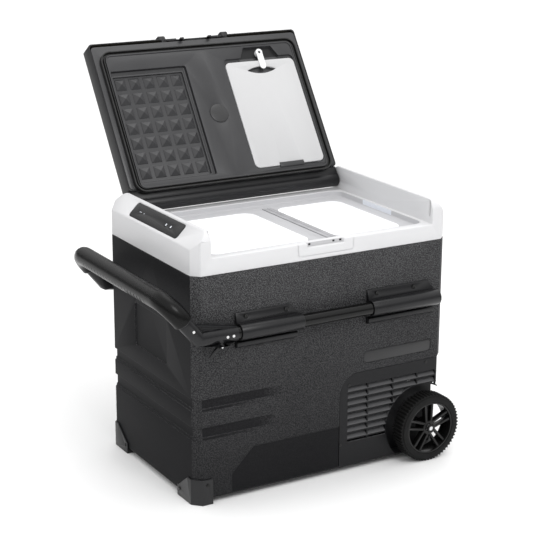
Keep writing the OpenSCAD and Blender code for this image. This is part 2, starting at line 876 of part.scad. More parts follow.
module cutting_board() {
    color("white") open_lid() layer(board_z, board_z + 5.8) difference() {
        round_rect(49, -115.5, 223, 136.5, 12);
        // hanging hole with pointed ends
        intersection() {
            translate([136, -93 - 74.5]) circle(83, $fn = 160);
            translate([136, -93 + 74.5]) circle(83, $fn = 160);
        }
        // notch over the tab
        translate([112, 134.5]) square([54, 4]);
    }
}

// Clip that turns on its stud and holds the board's upper edge
module board_clip() {
    color("white") open_lid() translate([clip_at[0], clip_at[1], 0]) difference() {
        union() {
            layer(board_z - 3.3, board_z - 0.4) union() {
                circle(8);
                translate([-7.5, 0]) square([15, 32.5]);
                translate([0, 32.5]) circle(7.5);
            }
            layer(board_z - 2, board_z + 7.6) circle(8);
        }
        layer(board_z - 5, board_z + 9) circle(3 + fit);
    }
}

module hinge_pins() {
    color("silver") for (x = [-1, 1]) translate([x * (lid_x - 15), hinge_y, hinge_z])
        rotate([0, x * 90, 0]) cylinder(h = 29, r = 4);
}

// ---------------------------------------------------------------- controls

// Keys and lamps along the slope
key_y = [-42, -62];
lamp_y = [57, 70, 75];

module display_panel() {
    color("#262628") on_slope() difference() {
        layer(-2.9, -0.5) round_rect(-17, -106, 17, 106, 7);
        for (y = key_y) translate([0, y, -4]) cylinder(h = 6, r = 5.3);
        for (y = lamp_y) translate([0, y, -4]) cylinder(h = 6, r = 1);
    }
}

module key(y) {
    color("#262628") on_slope() translate([0, y, -2.4]) cylinder(h = 2, r = 5);
}

module left_key() {
    key(key_y[0]);
}

module right_key() {
    key(key_y[1]);
}

module control_board() {
    color("#1f6b3a") on_slope() difference() {
        union() {
            translate([-13, -88, -9]) cube([26, 176, 1.6]);
            translate([-9, -20, -7.4]) cube([18, 60, 3]);
            for (y = key_y) translate([-3, y - 3, -7.4]) cube([6, 6, 3.5]);
            for (y = lamp_y) translate([0, y, -7.4]) cylinder(h = 4, r = 0.9);
        }
        for (y = [-82, 82]) translate([0, y, -10]) cylinder(h = 4, r = 1.6);
    }
}

// ---------------------------------------------------------------- cooling

compressor_at = [105, 55];

module compressor() {
    color("#202122") translate([compressor_at[0], compressor_at[1], 0]) {
        rotate_extrude() polygon([
            [0, 33], [50, 33], [56, 39], [56, 70], [58, 72], [58, 76], [56, 78],
            [56, 112], [48, 128], [30, 138], [0, 142]
        ]);
        translate([-60, -48, 30]) cube([120, 96, 3.1]);
        translate([-12, -72, 60]) cube([24, 20, 34]);
    }
}

module compressor_feet() {
    color("#2b2b2b") for (x = [-50, 50], y = [-38, 38])
        translate([compressor_at[0] + x, compressor_at[1] + y, shell_z]) cylinder(h = 14.9, r = 9);
}

module condenser() {
    color("#a8adb2") {
        for (x = [56 : 6 : 158]) translate([x, -130, 34]) cube([1, 34, 148]);
        for (z = [48 : 24 : 168], y = [-121, -105]) translate([52, y, z]) rotate([0, 90, 0])
            cylinder(h = 112, r = 3);
        for (x = [51, 163]) translate([x, -132, shell_z]) cube([2, 38, 169]);
    }
}

fan_at = [107, 110];
fan_y = -160;

module fan_frame() {
    color(black) translate([fan_at[0], 0, fan_at[1]]) difference() {
        union() {
            difference() {
                along_y(fan_y, fan_y + 25) round_rect(-46, -46, 46, 46, 4);
                along_y(fan_y - 1, fan_y + 26) circle(43.5);
            }
            along_y(fan_y + 21, fan_y + 24) for (a = [45 : 90 : 315]) rotate(a)
                translate([10, -3]) square([35, 6]);
            along_y(fan_y + 20, fan_y + 24) circle(15);
            along_y(fan_y + 5.3, fan_y + 21) circle(3);
            translate([-8, fan_y, -fan_at[1] + shell_z]) cube([16, 25, 50]);
        }
        for (x = [-41, 41], z = [-41, 41]) translate([x, fan_y - 1, z]) rotate([-90, 0, 0])
            cylinder(h = 30, r = 2.2);
    }
}

module fan_rotor() {
    color("#303236") translate([fan_at[0], 0, fan_at[1]]) difference() {
        union() {
            along_y(fan_y + 4, fan_y + 19.5) circle(17);
            for (i = [0 : 6]) rotate([0, i * 360 / 7, 0]) translate([27, fan_y + 11.5, 0])
                rotate([35, 0, 0]) cube([28, 2, 19], center = true);
        }
        along_y(fan_y + 4.9, fan_y + 30) circle(3 + fit);
    }
}

module refrigerant_pipes() {
    z = 170;
    color("#b87333") {
        bent_bar([[145, 55, 134.5], [145, 55, z], [172, 55, z], [172, -101, z], [165.2, -101, z]], 3);
        bent_bar([[75, 55, 138.6], [75, 55, 200], [75, 130, 200], [75, 130, 227.9]], 3);
        bent_bar([[50.8, -125, 40], [47, -125, 40], [47, -125, 200], [47, -125, 227.9]], 2);
    }
}

module power_module() {
    color("#9aa0a6") {
        translate([178, 20, shell_z]) cube([90, 90, 34]);
        for (y = [24 : 9 : 105]) translate([180, y, shell_z + 33.9]) cube([86, 3, 9]);
    }
}

module dc_inlet() {
    color(black) translate([half_l - 26, -60, 184]) rotate([0, 90, 0]) {
        difference() {
            union() {
                cylinder(h = 24, r = 14);
                translate([0, 0, 23]) cylinder(h = 1.9, r = 17);
            }
            translate([0, 0, 8]) cylinder(h = 30, r = 10);
        }
        for (y = [-4, 4]) translate([0, y, 7.9]) cylinder(h = 13, r = 1.6);
    }
}

// ---------------------------------------------------------------- selection

outer_shell();
top_frame();
left_tub();
right_tub();
divider_seal();
foam_core();
left_evaporator();
right_evaporator();
base_plate();
bay_bulkhead();
front_corner_guard();
rear_corner_guard();
front_vent_cover();
rear_vent_cover();
end_cover();
badge_plate();
blank_label();
case_screws();
axle();
axle_brackets();
axle_spacers();
axle_caps();
front_tyre();
front_rim();
rear_tyre();
rear_rim();
front_rail_brackets();
rear_rail_brackets();
front_tube();
rear_tube();
front_elbow();
rear_elbow();
grip();
grip_underside();
handle_screws();
lever_pins();
front_release_lever();
rear_release_lever();
lid_shell();
lid_liner();
lid_foam();
lid_gasket();
lid_lens();
lid_latch();
latch_strike();
cutting_board();
board_clip();
hinge_pins();
display_panel();
left_key();
right_key();
control_board();
compressor();
compressor_feet();
condenser();
fan_frame();
fan_rotor();
refrigerant_pipes();
power_module();
dc_inlet();
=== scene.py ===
import json
import math

import bpy
from mathutils import Matrix, Vector


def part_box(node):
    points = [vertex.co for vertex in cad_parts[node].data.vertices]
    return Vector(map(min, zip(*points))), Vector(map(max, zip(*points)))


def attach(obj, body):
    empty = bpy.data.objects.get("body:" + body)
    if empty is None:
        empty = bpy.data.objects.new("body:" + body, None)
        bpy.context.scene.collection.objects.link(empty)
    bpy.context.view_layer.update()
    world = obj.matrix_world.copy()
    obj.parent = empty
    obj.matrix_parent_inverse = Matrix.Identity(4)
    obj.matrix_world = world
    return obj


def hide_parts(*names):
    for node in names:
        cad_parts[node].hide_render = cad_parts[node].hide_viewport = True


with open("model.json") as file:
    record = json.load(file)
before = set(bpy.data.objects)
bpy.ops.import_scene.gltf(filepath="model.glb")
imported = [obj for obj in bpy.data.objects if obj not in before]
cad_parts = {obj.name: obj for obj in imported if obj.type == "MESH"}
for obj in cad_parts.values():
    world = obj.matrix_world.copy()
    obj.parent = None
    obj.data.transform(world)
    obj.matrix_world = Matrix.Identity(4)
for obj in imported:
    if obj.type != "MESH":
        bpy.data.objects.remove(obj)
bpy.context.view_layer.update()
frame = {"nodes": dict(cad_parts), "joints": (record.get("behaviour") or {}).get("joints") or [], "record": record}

NODES = frame["nodes"]
MM = 0.001
HINGE = next(joint for joint in frame["joints"] if joint["name"] == "lid_hinge")
HINGE_AT = Vector(HINGE["pos_m"])
LID_OPEN = math.radians(HINGE["range_deg"][1])

# Driving places, in millimetres, in the frame of the closed lid or of the cabinet
SEAL_Z = 504.5           # sealing plane of the closed lid
PLUG_Z = SEAL_Z - 8.5    # face of the lid's inner panel
POCKET_DEPTH = 8         # floor of the lid's pocket, above that face
WAFFLE_STEPS = (5, 7)    # pyramids in X and in Y
PLUG = (-229, -156.5, 229, 150.5)
GASKET = (-240, -165.5, 240, 158.5)
SLOPE_AT = Vector((-278, -2, 539))   # middle of the control panel
PANEL_Z = -0.5                       # face of the panel below the slope
SLOPE = math.radians(45)
LAMP_Y = (57, 70, 75)
KEY_Y = {"left": -42, "right": -62}
RAIL_Y = 211
RAIL_Z = 355
TUBE_R = 13
ARM_LEAN = math.radians(51)
ARM_JOINT = (-330, 397)              # where a grip arm meets its elbow, in X and Z
WEB_RIBS = (                         # ends of the ribs on an elbow's web, in X and Z
    ((-300, 380), (-226, 367)),
    ((-297, 374), (-238, 364)),
    ((-294, 368), (-252, 361)),
)
SIDES = ((-1, "front"), (1, "rear"))


# ------------------------------------------------------------------ camera and light

def add_camera():
    """Camera in front of the handle end, slightly above the fridge."""
    azimuth = math.radians(-120.12)
    elevation = math.radians(16.35)
    roll = math.radians(0.197)
    view = -Vector((
        math.cos(elevation) * math.cos(azimuth),
        math.cos(elevation) * math.sin(azimuth),
        math.sin(elevation),
    ))
    right = view.cross(Vector((0, 0, 1))).normalized()
    up = right.cross(view)
    tilted_right = right * math.cos(roll) + up * math.sin(roll)
    tilted_up = up * math.cos(roll) - right * math.sin(roll)
    turn = Matrix((tilted_right, tilted_up, -view)).transposed().to_4x4()
    bpy.ops.object.camera_add()
    camera = bpy.context.object
    camera.matrix_world = Matrix.Translation((-1.5954, -2.7062, 1.3240)) @ turn
    camera.data.lens = 106.04
    camera.data.sensor_width = 36
    camera.data.clip_end = 50
    bpy.context.scene.camera = camera


def add_light(name, place, target, size, power):
    """Square area light at place that faces target."""
    bpy.ops.object.light_add(type="AREA", location=place)
    light = bpy.context.object
    light.name = name
    light.data.shape = "SQUARE"
    light.data.size = size
    light.data.energy = power
    aim = Vector(target) - Vector(place)
    light.rotation_euler = aim.to_track_quat("-Z", "Y").to_euler()


def add_studio():
    """Pale floor, a soft key from the front, and a pale room that is brighter above than at its walls."""
    bpy.ops.mesh.primitive_plane_add(size=24)
    floor = bpy.context.object
    floor.name = "floor"
    floor.data.materials.append(floor_paint())
    add_light("key", (-0.2, -1.9, 2.2), (0.1, 0, 0.40), 0.9, 20)
    add_light("top", (0.3, 0.2, 2.6), (0, 0, 0.4), 1.4, 9)
    world = bpy.data.worlds.new("room")
    bpy.context.scene.world = world
    world.use_nodes = True
    nodes, links = world.node_tree.nodes, world.node_tree.links
    place = nodes.new("ShaderNodeTexCoord")
    split = nodes.new("ShaderNodeSeparateXYZ")
    height = nodes.new("ShaderNodeMapRange")
    height.interpolation_type = "SMOOTHSTEP"
    for name, value in (("From Min", 0.05), ("From Max", 0.65), ("To Min", 0.28), ("To Max", 1.32)):
        height.inputs[name].default_value = value
    links.new(place.outputs["Generated"], split.inputs[0])
    links.new(split.outputs["Z"], height.inputs["Value"])
    links.new(height.outputs[0], nodes["Background"].inputs["Strength"])
    nodes["Background"].inputs["Color"].default_value = (1, 1, 1, 1)
    bpy.context.scene.view_settings.view_transform = "Standard"


# ------------------------------------------------------------------ materials

class Wire:
    """A shader socket that Python arithmetic adds Math nodes to."""

    def __init__(self, tree, socket):
        self.tree = tree
        self.socket = socket

    def maths(self, operation, first, second):
        node = self.tree.nodes.new("ShaderNodeMath")
        node.operation = operation
        for socket, value in zip(node.inputs, (first, second)):
            if isinstance(value, Wire):
                self.tree.links.new(value.socket, socket)
            else:
                socket.default_value = value
        return Wire(self.tree, node.outputs[0])

    def __add__(self, other):
        return self.maths("ADD", self, other)

    __radd__ = __add__

    def __sub__(self, other):
        return self.maths("SUBTRACT", self, other)

    def __rsub__(self, other):
        return self.maths("SUBTRACT", other, self)

    def __mul__(self, other):
        return self.maths("MULTIPLY", self, other)

    __rmul__ = __mul__


class Finish:
    """A material whose nodes are added one call at a time."""

    def __init__(self, name):
        self.material = bpy.data.materials.new(name)
        self.material.use_nodes = True
        self.tree = self.material.node_tree
        self.shader = self.tree.nodes["Principled BSDF"]

    def node(self, kind, settings=None, output=0, **sockets):
        """Output of a new node: its settings are set first, then the values or links of its sockets."""
        node = self.tree.nodes.new(kind)
        for key, value in (settings or {}).items():
            setattr(node, key, value)
        for key, value in sockets.items():
            self.feed(node.inputs[key.replace("_", " ")], value)
        return Wire(self.tree, node.outputs[output])

    def feed(self, socket, value):
        if isinstance(value, Wire):
            self.tree.links.new(value.socket, socket)
        else:
            socket.default_value = value

    def set(self, **sockets):
        for key, value in sockets.items():
            self.feed(self.shader.inputs[key.replace("_", " ")], value)

    def place(self):
        """Object coordinates, in metres."""
        return self.node("ShaderNodeTexCoord", output=3)

    def noise(self, scale, detail=2.0, roughness=0.5):
        return self.node("ShaderNodeTexNoise", Vector=self.place(), Scale=scale, Detail=detail,
                         Roughness=roughness)

    def blend(self, factor, first, second):
        """Colour between two colours."""
        node = self.tree.nodes.new("ShaderNodeMix")
        node.data_type = "RGBA"
        self.feed(node.inputs[0], factor)
        self.feed(node.inputs[6], (*first, 1))
        self.feed(node.inputs[7], (*second, 1))
        return Wire(self.tree, node.outputs[2])

    def bump(self, height, depth):
        """Surface relief of that depth in metres."""
        return self.node("ShaderNodeBump", Height=height, Distance=depth, Strength=1.0)


def moulded(name, dark, light, roughness, grain=900.0, depth=0.00008, coat=0.0, shine=0.5,
             painted_glow=0.0):
    """Moulded plastic with a fine grain, slight colour drift and a roughness that follows it; where a glowing
    strength is given, it glows with painted light though it is no lamp.
    """
    finish = Finish(name)
    drift = finish.noise(9.0, 3.0)
    fine = finish.noise(grain, 2.0)
    finish.set(
        Base_Color=finish.blend(drift, dark, light),
        Roughness=roughness + (fine - 0.5) * 0.16 + (drift - 0.5) * 0.08,
        Normal=finish.bump(fine, depth),
        Coat_Weight=coat,
        Coat_Roughness=0.12,
        Specular_IOR_Level=shine,
        Emission_Color=(1, 1, 1, 1),
        Emission_Strength=painted_glow,
    )
    return finish.material


def pebbled(name, dark, light):
    """Dark grey shell: pebbled, with pale specks that are partly its grain's tone and partly painted glints.
    Painted shade makes it darker towards its bottom, on its ends and on its recessed front and rear faces; the
    ends and recessed faces are also smoother.
    """
    finish = Finish(name)
    cells = finish.node("ShaderNodeTexVoronoi", {"feature": "SMOOTH_F1"}, Vector=finish.place(),
                        Scale=420.0, Smoothness=0.5)
    small = finish.noise(540.0, 2.0, 0.65)
    drift = finish.noise(5.0, 3.0)
    # Pale specks give the grain its tone and are also painted highlights standing for the glints of the pebbles.
    grain_specks_and_glints = finish.node("ShaderNodeMapRange", {"interpolation_type": "SMOOTHSTEP"}, Value=small,
                        From_Min=0.42, From_Max=0.64)
    height = (1.0 - cells) * 0.5 + small * 0.5
    level = finish.node("ShaderNodeSeparateXYZ", output=2, Vector=finish.place())
    # Painted shade: the shell's colour darkens towards its bottom.
    painted_shade_by_height = finish.node("ShaderNodeMapRange", {}, Value=level, From_Min=0.05, From_Max=0.50, To_Min=0.28,
                       To_Max=1.0)
    facing = finish.node("ShaderNodeNewGeometry", output=3)
    along = finish.node("ShaderNodeSeparateXYZ", output=0, Vector=facing)
    # Painted shade that darkens the end faces, picked out by their normals; the same mask also smooths the grain
    # on them.
    side = finish.node("ShaderNodeMapRange", {}, Value=along * along, From_Min=0.75, From_Max=0.96,
                       To_Min=1.0, To_Max=0.10)
    depth = finish.node("ShaderNodeSeparateXYZ", output=1, Vector=finish.place())
    across = finish.node("ShaderNodeSeparateXYZ", output=1, Vector=facing)
    # Painted shade on the recessed front and rear faces, which are coloured darker; their grain is also smoothed.
    sunk = finish.node("ShaderNodeMapRange", {}, Value=depth * depth, From_Min=0.1895 ** 2,
                       From_Max=0.1905 ** 2, To_Min=0.8, To_Max=0.0)
    flat = finish.node("ShaderNodeMapRange", {}, Value=across * across, From_Min=0.80, From_Max=0.92)
    recess_painted_shade_and_smoothing = 1.0 - sunk * flat
    finish.set(
        Base_Color=finish.blend((grain_specks_and_glints * 0.8 + drift * 0.2) * painted_shade_by_height * side * recess_painted_shade_and_smoothing, dark, light),
        Roughness=0.46 + small * 0.24,
        Normal=finish.bump(height * side * recess_painted_shade_and_smoothing, 0.0008),
        Specular_IOR_Level=0.08,
    )
    return finish.material


def louvred(name, face, painted_lit_slat_colour):
    """Dark moulded cover whose slats have their upward-facing faces painted paler: a painted highlight where they
    would catch the light.
    """
    finish = Finish(name)
    fine = finish.noise(900.0)
    facing = finish.node("ShaderNodeNewGeometry", output=3)
    height = finish.node("ShaderNodeSeparateXYZ", output=2, Vector=facing)
    # Painted highlight: faces that look upward take the paler colour.
    painted_slat_light = finish.node("ShaderNodeMapRange", {}, Value=height, From_Min=0.12, From_Max=0.40)
    finish.set(
        Base_Color=finish.blend(painted_slat_light * (0.9 + fine * 0.2), face, painted_lit_slat_colour),
        Roughness=0.36 + fine * 0.10,
        Normal=finish.bump(fine, 0.00008),
        Specular_IOR_Level=0.24,
    )
    return finish.material


def white_with_ledge_shade(name, ledge_shade_colour, rim):
    """Satin white frame whose ledge, below its rim, is painted a shade greyer: painted shade on the recessed
    ledge.
    """
    finish = Finish(name)
    level = finish.node("ShaderNodeSeparateXYZ", output=2, Vector=finish.place())
    along = finish.node("ShaderNodeSeparateXYZ", output=0, Vector=finish.place())
    across = finish.node("ShaderNodeSeparateXYZ", output=1, Vector=finish.place())
    above = finish.node("ShaderNodeMapRange", {}, Value=level, From_Min=0.5015, From_Max=0.5025)
    beyond_x = finish.node("ShaderNodeMapRange", {}, Value=along * along, From_Min=0.2535 ** 2,
                           From_Max=0.2545 ** 2)
    beyond_y = finish.node("ShaderNodeMapRange", {}, Value=(across + 0.0035) * (across + 0.0035),
                           From_Min=0.1655 ** 2, From_Max=0.1665 ** 2)
    outside_ledge_shade = above.maths("MAXIMUM", above, beyond_x + beyond_y)
    outside_ledge_shade = outside_ledge_shade.maths("MINIMUM", outside_ledge_shade, 1.0)
    fine = finish.noise(700.0)
    drift = finish.noise(9.0, 3.0)
    finish.set(
        # Painted shade: the ledge takes the greyer colour, the rim and the faces beyond it the paler one.
        Base_Color=finish.blend(outside_ledge_shade * (0.92 + drift * 0.16), ledge_shade_colour, rim),
        Roughness=0.40 + (fine - 0.5) * 0.16,
        Normal=finish.bump(fine, 0.00003),
    )
    return finish.material


def rubber(name, colour, roughness=0.62, shine=0.3):
    """Matt rubber with a faint bloom."""
    finish = Finish(name)
    bloom = finish.noise(35.0, 4.0, 0.6)
    fine = finish.noise(1400.0, 1.0)
    pale = tuple(c * 1.7 + 0.006 for c in colour)
    finish.set(
        Base_Color=finish.blend(bloom, colour, pale),
        Roughness=roughness + (bloom - 0.5) * 0.2,
        Normal=finish.bump(fine, 0.00006),
        Specular_IOR_Level=shine,
    )
    return finish.material


def metal(name, dark, light, roughness, stretch=(40.0, 900.0, 900.0)):
    """Metal with fine drawing lines along X."""
    finish = Finish(name)
    lines = finish.node("ShaderNodeMapping", Vector=finish.place(), Scale=stretch)
    streaks = finish.node("ShaderNodeTexNoise", Vector=lines, Scale=1.0, Detail=3.0)
    finish.set(
        Base_Color=finish.blend(streaks, dark, light),
        Metallic=1.0,
        Roughness=roughness + (streaks - 0.5) * 0.2,
        Normal=finish.bump(streaks, 0.00002),
    )
    return finish.material


def gloss_coated(name, colour):
    """Smooth coated tube with a slight orange peel."""
    finish = Finish(name)
    peel = finish.noise(220.0, 1.0)
    drift = finish.noise(12.0, 2.0)
    pale = tuple(c * 1.6 for c in colour)
    finish.set(
        Base_Color=finish.blend(drift, colour, pale),
        Roughness=0.17 + drift * 0.06,
        Normal=finish.bump(peel, 0.00003),
        Specular_IOR_Level=0.26,
    )
    return finish.material


def foam_skin(name):
    """Cut rigid foam with open cells."""
    finish = Finish(name)
    cells = finish.node("ShaderNodeTexVoronoi", Vector=finish.place(), Scale=700.0)
    finish.set(
        Base_Color=finish.blend(cells, (0.86, 0.80, 0.56), (0.66, 0.58, 0.34)),
        Roughness=0.9,
        Normal=finish.bump(cells, 0.0004),
    )
    return finish.material


def circuit(name):
    """Green board with a lighter grid of tracks."""
    finish = Finish(name)
    tracks = finish.node("ShaderNodeTexBrick", {}, 1, Vector=finish.place(), Scale=160.0)
    finish.set(
        Base_Color=finish.blend(tracks, (0.02, 0.16, 0.06), (0.05, 0.3, 0.12)),
        Roughness=0.35,
        Normal=finish.bump(tracks, 0.00005),
    )
    return finish.material


def floor_paint():
    finish = Finish("floor_paint")
    cloud = finish.noise(1.5, 2.0)
    finish.set(Base_Color=finish.blend(cloud, (0.96, 0.96, 0.96), (0.98, 0.98, 0.98)), Roughness=0.6)
    return finish.material


MATERIALS = {
    "shell_plastic": pebbled("shell_plastic", (0.007, 0.007, 0.008), (0.125, 0.125, 0.128)),
    "white_plastic": white_with_ledge_shade("white_plastic", (0.50, 0.50, 0.515), (0.64, 0.64, 0.65)),
    # The tubs are given a faint emission though they hold no lamp: painted light that brightens their insides.
    "tub_plastic": moulded("tub_plastic", (0.88, 0.89, 0.90), (0.90, 0.91, 0.92), 0.28, 500.0, 0.00002,
                            painted_glow=0.16),
    "pale_rubber": rubber("pale_rubber", (0.27, 0.27, 0.28)),
    "foam": foam_skin("foam"),
    "copper": metal("copper", (0.70, 0.32, 0.18), (0.85, 0.45, 0.28), 0.3),
    "base_plastic": moulded("base_plastic", (0.006, 0.006, 0.007), (0.010, 0.010, 0.011), 0.5, shine=0.25),
    "sheet_steel": metal("sheet_steel", (0.50, 0.51, 0.53), (0.66, 0.67, 0.68), 0.42, (200.0, 200.0, 200.0)),
    "guard_plastic": moulded("guard_plastic", (0.006, 0.006, 0.007), (0.011, 0.011, 0.012), 0.34, shine=0.4),
    "vent_plastic": louvred("vent_plastic", (0.005, 0.005, 0.006), (0.085, 0.085, 0.088)),
    "badge_plastic": moulded("badge_plastic", (0.014, 0.014, 0.015), (0.022, 0.022, 0.023), 0.34, shine=0.4),
    "label_film": moulded("label_film", (0.80, 0.83, 0.90), (0.84, 0.87, 0.93), 0.25, 300.0, 0.00001),
    "screw_steel": metal("screw_steel", (0.55, 0.55, 0.55), (0.85, 0.85, 0.85), 0.24, (900.0, 60.0, 900.0)),
    "screw_black": moulded("screw_black", (0.004, 0.004, 0.004), (0.008, 0.008, 0.008), 0.3, shine=0.4),
    "axle_steel": metal("axle_steel", (0.55, 0.55, 0.56), (0.75, 0.75, 0.76), 0.25, (900.0, 60.0, 900.0)),
    "black_plastic": moulded("black_plastic", (0.005, 0.005, 0.006), (0.010, 0.010, 0.011), 0.45, shine=0.28),
    "tyre_rubber": rubber("tyre_rubber", (0.003, 0.003, 0.003), shine=0.16),
    "rim_plastic": moulded("rim_plastic", (0.003, 0.003, 0.003), (0.006, 0.006, 0.006), 0.24, shine=0.28),
    "bracket_plastic": moulded("bracket_plastic", (0.006, 0.006, 0.007), (0.012, 0.012, 0.013), 0.3, shine=0.3),
    "tube_paint": gloss_coated("tube_paint", (0.002, 0.002, 0.002)),
    "grip_plastic": moulded("grip_plastic", (0.003, 0.003, 0.003), (0.006, 0.006, 0.006), 0.26, 1100.0, 0.00006,
                            shine=0.16),
    "lever_plastic": moulded("lever_plastic", (0.006, 0.006, 0.007), (0.012, 0.012, 0.013), 0.38, shine=0.36),
    "lid_plastic": moulded("lid_plastic", (0.007, 0.007, 0.008), (0.014, 0.014, 0.015), 0.38, shine=0.34),
    "liner_plastic": moulded("liner_plastic", (0.020, 0.020, 0.022), (0.036, 0.036, 0.038), 0.34, 500.0, 0.0001,
                             shine=0.46),
    "gasket_rubber": rubber("gasket_rubber", (0.006, 0.006, 0.006), 0.42, shine=0.4),
    "lens_plastic": moulded("lens_plastic", (0.016, 0.016, 0.017), (0.024, 0.024, 0.025), 0.3, coat=0.2,
                            shine=0.4),
    "latch_plastic": moulded("latch_plastic", (0.005, 0.005, 0.006), (0.010, 0.010, 0.011), 0.4, shine=0.34),
    "strike_plastic": moulded("strike_plastic", (0.46, 0.46, 0.47), (0.52, 0.52, 0.53), 0.4),
    "board_plastic": moulded("board_plastic", (0.51, 0.51, 0.515), (0.545, 0.545, 0.55), 0.55, 260.0, 0.00012),
    "clip_plastic": moulded("clip_plastic", (0.78, 0.78, 0.79), (0.84, 0.84, 0.85), 0.25, 400.0, 0.00002),
    "display_gloss": moulded("display_gloss", (0.005, 0.005, 0.006), (0.009, 0.009, 0.010), 0.3, coat=0.08,
                             shine=0.26),
    "circuit_board": circuit("circuit_board"),
    "compressor_paint": moulded("compressor_paint", (0.012, 0.012, 0.013), (0.02, 0.02, 0.022), 0.3, coat=0.3),
    "foot_rubber": rubber("foot_rubber", (0.01, 0.01, 0.01)),
    "aluminium_fin": metal("aluminium_fin", (0.60, 0.62, 0.64), (0.75, 0.76, 0.78), 0.35),
    "rotor_plastic": moulded("rotor_plastic", (0.03, 0.03, 0.034), (0.045, 0.045, 0.05), 0.4),
    "module_aluminium": metal("module_aluminium", (0.45, 0.47, 0.49), (0.6, 0.62, 0.64), 0.4),
}
SLOT_OF = {row["node"]: row["material_slot"] for row in frame["record"]["subparts"]}
BODY_OF = {node: body for body, nodes in frame["record"]["behaviour"]["bodies"].items() for node in nodes}


def paint(piece, slot):
    piece.data.materials.clear()
    piece.data.materials.append(MATERIALS[slot])


# ------------------------------------------------------------------ modelling helpers

def only(piece):
    """Selects this piece and nothing else."""
    bpy.ops.object.select_all(action="DESELECT")
    piece.select_set(True)
    bpy.context.view_layer.objects.active = piece


def settle(piece):
    """Puts the piece's place into its mesh."""
    only(piece)
    bpy.ops.object.transform_apply(location=True, rotation=True, scale=True)


def apply_modifiers(piece):
    only(piece)
    for modifier in list(piece.modifiers):
        bpy.ops.object.modifier_apply(modifier=modifier.name)


def smooth(piece, angle=35):
    only(piece)
    bpy.ops.object.shade_smooth_by_angle(angle=math.radians(angle))


def face_outwards(piece):
    """Joins doubled points and turns every face outwards."""
    only(piece)
    bpy.ops.object.mode_set(mode="EDIT")
    bpy.ops.mesh.select_all(action="SELECT")
    bpy.ops.mesh.remove_doubles(threshold=0.00001)
    bpy.ops.mesh.normals_make_consistent(inside=False)
    bpy.ops.object.mode_set(mode="OBJECT")


def rounded(piece, width, segments=2, angle=38):
    """Rounds the sharp edges by width in millimetres."""
    bevel = piece.modifiers.new("rounding", "BEVEL")
    bevel.width = width * MM
    bevel.segments = segments
    bevel.limit_method = "ANGLE"
    bevel.angle_limit = math.radians(angle)
    bevel.use_clamp_overlap = False
    bevel.miter_outer = "MITER_ARC"
    bevel.harden_normals = False
    apply_modifiers(piece)
    smooth(piece)


def join(pieces, name):
    """Joins pieces into the first of them."""
    bpy.ops.object.select_all(action="DESELECT")
    for piece in pieces:
        piece.select_set(True)
    bpy.context.view_layer.objects.active = pieces[0]
    bpy.ops.object.join()
    pieces[0].name = name
    return pieces[0]


def copy_of(piece):
    """A copy with its own mesh."""
    twin = piece.copy()
    twin.data = piece.data.copy()
    bpy.context.scene.collection.objects.link(twin)
    return twin


def opened(piece):
    """Turns a piece made on the closed lid to the open lid."""
    turn = (Matrix.Translation(HINGE_AT) @ Matrix.Rotation(-LID_OPEN, 4, "X")
            @ Matrix.Translation(-HINGE_AT))
    piece.data.transform(turn)
    return piece


def mounted(piece, node):
    """Gives a new piece the body and finish of a CAD piece, and stands it in its place."""
    paint(piece, SLOT_OF[node])
    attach(piece, BODY_OF[node])
    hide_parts(node)


def softened(node, width, segments=2, angle=38):
    """A copy of a CAD piece whose edges are rounded by width in millimetres."""
    piece = copy_of(NODES[node])
    piece.parent = None
    for key in list(piece.keys()):
        del piece[key]
    piece.name = node + "_finished"
    only(piece)
    bpy.ops.object.mode_set(mode="EDIT")
    bpy.ops.mesh.select_all(action="SELECT")
    bpy.ops.mesh.remove_doubles(threshold=0.00002)
    for axis, at in CUTS.get(node, ()):
        bpy.ops.mesh.select_all(action="SELECT")
        bpy.ops.mesh.bisect(
            plane_co=(at * MM, 0, 0) if axis == "x" else (0, at * MM, 0),
            plane_no=(1, 0, 0) if axis == "x" else (0, 1, 0))
        bpy.ops.mesh.mark_seam()
    bpy.ops.mesh.select_all(action="SELECT")
    bpy.ops.mesh.dissolve_limited(angle_limit=math.radians(0.5), delimit={"SEAM"})
    bpy.ops.object.mode_set(mode="OBJECT")
    rounded(piece, width, segments, angle)
    mounted(piece, node)
    return piece


# ------------------------------------------------------------------ finished pieces

# Flat faces with holes are cut at x or y, in millimetres, so that no face has a hole in it
CUTS = {
    "top_frame": (("x", -110), ("x", 33), ("x", 143), ("y", -6)),
    "lid_liner": (("x", -136), ("x", 0), ("x", 136)),
    "cutting_board": (("x", 136),),
    "outer_shell": (("x", 0), ("x", 178), ("y", 0)),
    "lid_shell": (("x", -40), ("x", 0), ("x", 40)),
}
ROUNDINGS = {
    "outer_shell": 1.2, "top_frame": 2.0, "end_cover": 0.8,
    "front_corner_guard": 1.2, "rear_corner_guard": 1.2, "front_rail_brackets": 0.8,
    "rear_rail_brackets": 0.8, "front_elbow": 0.5, "rear_elbow": 0.5, "front_release_lever": 0.7,
    "rear_release_lever": 0.7, "lid_shell": 1.2, "lid_liner": 0.8, "lid_latch": 0.5, "latch_strike": 0.2,
    "cutting_board": 1.2, "board_clip": 0.7, "display_panel": 0.3, "left_key": 0.3, "right_key": 0.3,
    "front_rim": 0.8, "rear_rim": 0.8, "front_tyre": 0.5, "rear_tyre": 0.5, "badge_plate": 0.4,
    "base_plate": 0.6, "fan_frame": 0.5, "power_module": 0.5, "axle_caps": 0.5, "lid_lens": 0.6,
}


def finish_cad_pieces():
    """Rounds the edges of the pieces that show, and paints all of them."""
    for node, piece in NODES.items():
        paint(piece, SLOT_OF[node])
    for node, width in ROUNDINGS.items():
        softened(node, width)


